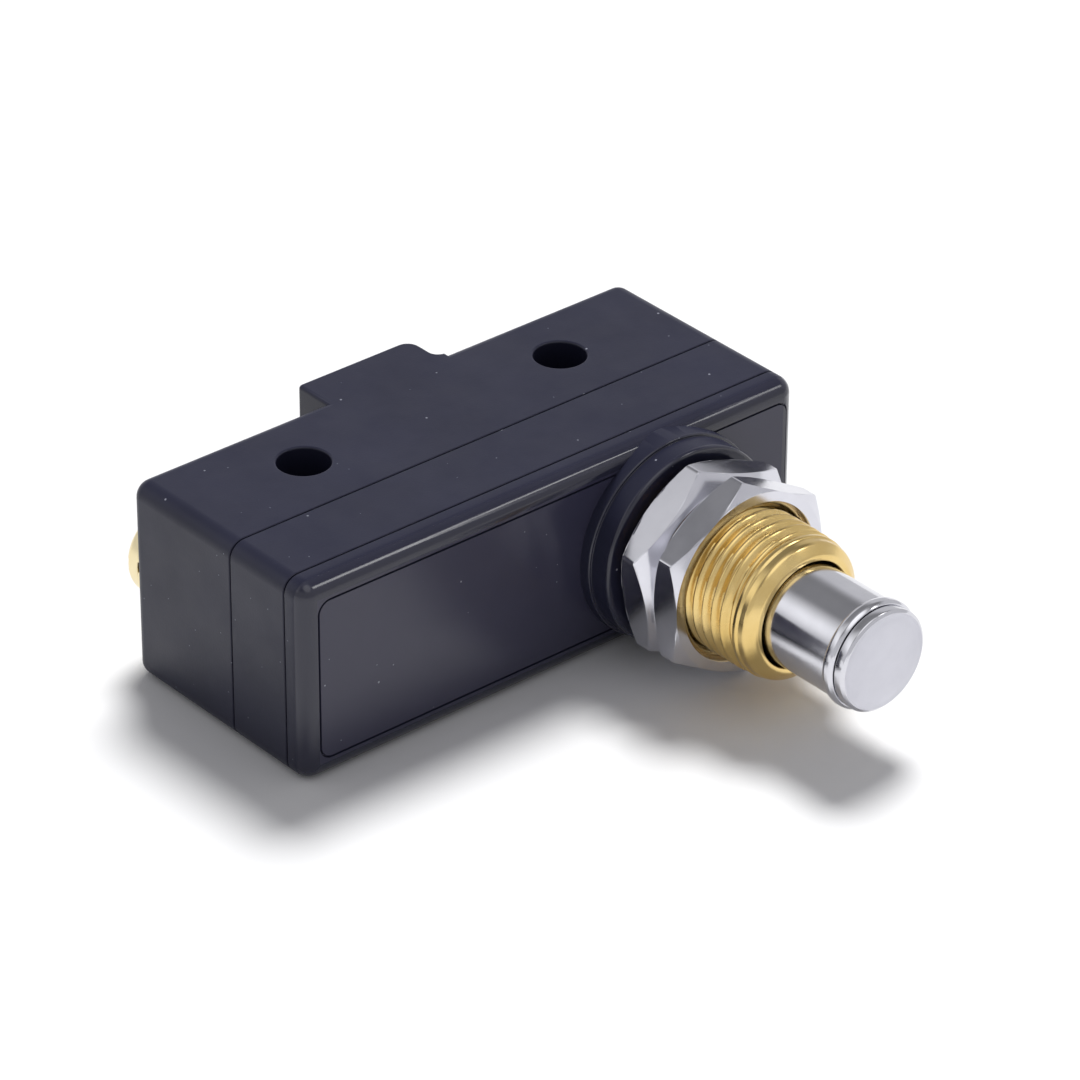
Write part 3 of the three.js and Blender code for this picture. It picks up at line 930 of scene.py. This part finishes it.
def make_spring(node, wire, turns, body):
    """A compression spring with closed end coils."""
    low, high = box_mm(node)
    radius = (high.x - low.x) / 2 - wire
    start, end = low.y + wire, high.y - wire
    steps = round(turns * 28)
    section = 12
    dead = 0.9 / turns

    def station(share):
        """Eases the pitch to almost nothing over the first and last turn."""
        flat = 2 * wire * 0.9 / (end - start)
        if share < dead:
            return flat * share / dead
        if share > 1 - dead:
            return 1 - flat * (1 - share) / dead
        return flat + (1 - 2 * flat) * (share - dead) / (1 - 2 * dead)

    verts = []
    for i in range(steps + 1):
        share = i / steps
        angle = share * turns * TAU
        y = start + (end - start) * station(share)
        shrink = 0.02 if i in (0, steps) else 1
        for j in range(section):
            a = TAU * j / section
            r = radius + wire * math.cos(a) * shrink
            verts.append(about_y(HEAD_X)(r, y + wire * math.sin(a) * shrink, angle))
    faces = []
    for i in range(steps):
        for j in range(section):
            k = (j + 1) % section
            faces.append((i * section + j, i * section + k, (i + 1) * section + k, (i + 1) * section + j))
    faces.append(tuple(range(section)))
    faces.append(tuple(range(steps * section, (steps + 1) * section)))
    spring = bare_mesh(f"{node}_coiled", verts, faces)
    piece = finish_piece(spring, spring_steel, body, [node], 60)
    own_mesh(piece)
    return piece


def make_springs():
    make_spring("return_spring", 0.3, 6.5, "case")
    make_spring("overtravel_spring", 0.25, 6, "plunger")


make_springs()


# ---------------------------------------------------------------- contacts, screws and washers


def make_rivet(name, node, body, material, shank=0.8):
    """A two-headed rivet whose middle is as the CAD node's: heads at both ends of its box."""
    low, high = box_mm(node)
    head = (high.x - low.x) / 2
    x = (low.x + high.x) / 2
    spans = {
        "moving_contact": (0.7, 0.7),
        "blade_rivet": (0.5, 0.5),
        "fixed_contact_nc": (0.4, 0.7),
        "fixed_contact_no": (0.7, 0.1),
    }
    front, rear = spans[node]
    profile = filleted(
        [
            (0, low.y, 0),
            (head, low.y, min(0.25, front * 0.6)),
            (head, low.y + front, 0.04),
            (shank, low.y + front, 0.02),
            (shank, high.y - rear, 0.02),
            (head, high.y - rear, 0.04),
            (head, high.y, min(0.25, rear * 0.6)),
            (0, high.y, 0),
        ]
    )
    rivet = revolve(name, profile, about_y(x), 64)
    return finish_piece(rivet, material, body, [node])


def make_terminal_screw(name):
    node = f"terminal_screw_{name}"
    low, high = box_mm(node)
    head = (high.x - low.x) / 2
    x = TERMINALS[name]["screw"]
    seat = low.y + 5
    top = high.y
    height = top - seat
    crown = filleted(
        [
            (0, top, 0),
            (head - 1.5, top, 0.8),
            (head - 0.45, top - 0.28 * height, 0.8),
            (head, seat + 0.5 * height, 0.6),
            (head, seat, 0.12),
            (SCREW_SHANK, seat, 0.05),
        ],
        6,
    )
    pitch = 0.7
    rows = []
    first, last = seat - 0.4, low.y + 0.5
    count = 64
    for k in range(count + 1):
        y = first + (last - first) * k / count

        def radius(a, y=y):
            phase = (y / pitch + a / TAU) % 1
            fade = min(1.0, (first - y) / 0.3, (y - last) / 0.3 + 0.01)
            return SCREW_SHANK - 0.3 * (1 - abs(2 * phase - 1) * max(fade, 0))

        rows.append((radius, y))
    tip = filleted([(SCREW_SHANK - 0.35, low.y + 0.3, 0.1), (SCREW_SHANK - 0.6, low.y, 0.1), (0, low.y, 0)])
    screw = revolve(f"{node}_slotted", [*crown, *rows, *tip], about_y(x), 72)
    slot_width = 1.0
    slot_depth = 1.2
    half = slot_width / 2
    combine(screw, block(x - 5, x + 5, top - slot_depth, top + 1, MID_Z - half, MID_Z + half))
    return finish_piece(screw, yellow_brass, f"screw_{name}", [node], 38)


def make_washer(name):
    """An external-tooth washer with twisted teeth."""
    node = f"screw_washer_{name}"
    low, high = box_mm(node)
    outer = (high.x - low.x) / 2
    x = TERMINALS[name]["screw"]
    teeth = 12
    per_tooth = 12
    middle = (low.y + high.y) / 2
    thick = 0.4
    root = outer - 0.8
    rows = [(2.05, -1), (2.6, -1), (root, -1), ("edge", -1), ("edge", 1), (root, 1), (2.6, 1), (2.05, 1)]

    def point(i, j):
        radius, side = rows[i]
        share = (j % per_tooth) / per_tooth
        lift = 0.0
        if radius == "edge":
            on_tooth = share < 0.62
            radius = outer if on_tooth else root + 0.03
            lift = (share / 0.62 - 0.5) * 0.2 if on_tooth else 0.0
        angle = TAU * j / (teeth * per_tooth)
        return about_y(x)(radius, middle + side * thick / 2 + lift, angle)

    washer = grid(f"{node}_toothed", len(rows), teeth * per_tooth, point, close_rows=True)
    return finish_piece(washer, yellow_brass, f"washer_{name}", [node], 30)


make_rivet("moving_contact_double", "moving_contact", "blade", silver)
make_rivet("blade_rivet_headed", "blade_rivet", "case", yellow_brass)
make_rivet("fixed_contact_nc_button", "fixed_contact_nc", "case", silver)
make_rivet("fixed_contact_no_button", "fixed_contact_no", "case", silver)
for terminal_name in TERMINALS:
    make_terminal_screw(terminal_name)
    make_washer(terminal_name)


# ---------------------------------------------------------------- CAD nodes that stay


def keep_node(name, material, edge=0.06):
    """Keeps a CAD strip, with its own material and slightly broken edges."""
    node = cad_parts[name]
    node.data.materials.clear()
    node.data.materials.append(material)
    bevel = node.modifiers.new("broken edges", "BEVEL")
    bevel.width = edge * MM
    bevel.segments = 2
    bevel.limit_method = "ANGLE"
    bevel.angle_limit = math.radians(40)


for terminal_name in TERMINALS:
    keep_node(f"terminal_{terminal_name}", yellow_brass)
keep_node("snap_blade", copper_alloy, 0.03)


# ---------------------------------------------------------------- floor, light and camera


FLOOR_HALF_SIZE = 3.0
FILL = (0.37, 0.37, 0.385)
BACKDROP = (0.9, 0.9, 0.91)
KEY_ENERGY = 3.3
KEY_ANGLE = 20
KEY_FROM = (40, 61)
SKY_LEVELS = ((0.5, 0.66), (0.72, 0.24), (0.88, 0.3))
SOFT_BOXES = ((-44, 41, 7, 7.0), (-100, 60, 30, 1.1), (150, 40, 30, 0.5))
CAMERA_PLACE = (-243.497, -296.543, 238.195)
CAMERA_TURN = (58.731, -0.255, -40.455)
CAMERA_LENS = 192.956


def make_floor():
    size = FLOOR_HALF_SIZE
    mesh = bpy.data.meshes.new("floor")
    corners = [(-size, -size, 0), (size, -size, 0), (size, size, 0), (-size, size, 0)]
    mesh.from_pydata(corners, [], [(0, 1, 2, 3)])
    obj = bpy.data.objects.new("floor", mesh)
    bpy.context.scene.collection.objects.link(obj)
    look = Look("pale_floor")
    look.colour(look.mixed(look.ranged(look.noise(6, 2), 0, 1), (0.86, 0.86, 0.86), (0.89, 0.89, 0.89)))
    look.roughness(look.ranged(look.noise(20, 2), 0.8, 0.9))
    obj.data.materials.append(look.material)


def towards(azimuth, elevation):
    a, e = math.radians(azimuth), math.radians(elevation)
    return Vector((math.cos(e) * math.cos(a), math.cos(e) * math.sin(a), math.sin(e)))


def soft_box(tree, azimuth, elevation, width, level):
    """A soft bright patch of sky round a direction: level at its middle and 0 at its edge."""
    place = tree.nodes.new("ShaderNodeTexCoord")
    dot = tree.nodes.new("ShaderNodeVectorMath")
    dot.operation = "DOT_PRODUCT"
    tree.links.new(place.outputs["Generated"], dot.inputs[0])
    dot.inputs[1].default_value = towards(azimuth, elevation)
    fall = tree.nodes.new("ShaderNodeMapRange")
    fall.interpolation_type = "SMOOTHSTEP"
    fall.inputs["From Min"].default_value = math.cos(math.radians(width))
    fall.inputs["From Max"].default_value = math.cos(math.radians(width * 0.45))
    fall.inputs["To Min"].default_value = 0.0
    fall.inputs["To Max"].default_value = level
    tree.links.new(dot.outputs["Value"], fall.inputs["Value"])
    return fall.outputs["Result"]


def sky_levels(tree):
    """Bright near the horizon, dark at about 45 degrees up, dim overhead."""
    place = tree.nodes.new("ShaderNodeTexCoord")
    split = tree.nodes.new("ShaderNodeSeparateXYZ")
    tree.links.new(place.outputs["Generated"], split.inputs["Vector"])
    ramp = tree.nodes.new("ShaderNodeValToRGB")
    ramp.color_ramp.interpolation = "EASE"
    points = ramp.color_ramp.elements
    points[0].position = 0.0
    points[0].color = (0.66, 0.66, 0.68, 1)
    points[1].position = 1.0
    points[1].color = (0.5, 0.5, 0.52, 1)
    for sine, level in SKY_LEVELS:
        points.new(sine).color = (level, level, level * 1.03, 1)
    tree.links.new(split.outputs["Z"], ramp.inputs["Fac"])
    return ramp.outputs["Color"]


def blended(tree, factor, first, second, kind="MIX"):
    """Two colours mixed or added; each is an output or a plain colour."""
    mix = tree.nodes.new("ShaderNodeMix")
    mix.data_type = "RGBA"
    mix.blend_type = kind
    sockets = [mix.inputs["Factor"], *(s for s in mix.inputs if s.type == "RGBA")]
    for socket, value in zip(sockets, (factor, first, second)):
        if isinstance(value, bpy.types.NodeSocket):
            tree.links.new(value, socket)
        else:
            socket.default_value = value
    return next(s for s in mix.outputs if s.type == "RGBA")


def make_world():
    """Dim even fill for matt surfaces; a studio of bright and dark zones for what gloss reflects."""
    world = bpy.data.worlds.new("studio")
    bpy.context.scene.world = world
    world.use_nodes = True
    tree = world.node_tree
    gloss = sky_levels(tree)
    for box in SOFT_BOXES:
        gloss = blended(tree, 1.0, gloss, soft_box(tree, *box), "ADD")
    ray = tree.nodes.new("ShaderNodeLightPath")
    light = blended(tree, ray.outputs["Is Glossy Ray"], (*FILL, 1), gloss)
    seen = blended(tree, ray.outputs["Is Camera Ray"], light, (*BACKDROP, 1))
    tree.links.new(seen, tree.nodes["Background"].inputs["Color"])


def make_key_light():
    sun = bpy.data.lights.new("key", "SUN")
    sun.energy = KEY_ENERGY
    sun.angle = math.radians(KEY_ANGLE)
    key = bpy.data.objects.new("key", sun)
    bpy.context.scene.collection.objects.link(key)
    key.visible_glossy = False
    key.rotation_euler = towards(*KEY_FROM).to_track_quat("Z", "Y").to_euler()


def make_camera():
    data = bpy.data.cameras.new("camera")
    data.sensor_width = 36
    data.lens = CAMERA_LENS
    data.clip_start = 0.01
    camera = bpy.data.objects.new("camera", data)
    bpy.context.scene.collection.objects.link(camera)
    camera.location = Vector(CAMERA_PLACE) * MM
    camera.rotation_euler = [math.radians(v) for v in CAMERA_TURN]
    bpy.context.scene.camera = camera


make_floor()
make_key_light()
make_world()
make_camera()
bpy.context.scene.view_settings.view_transform = "Standard"
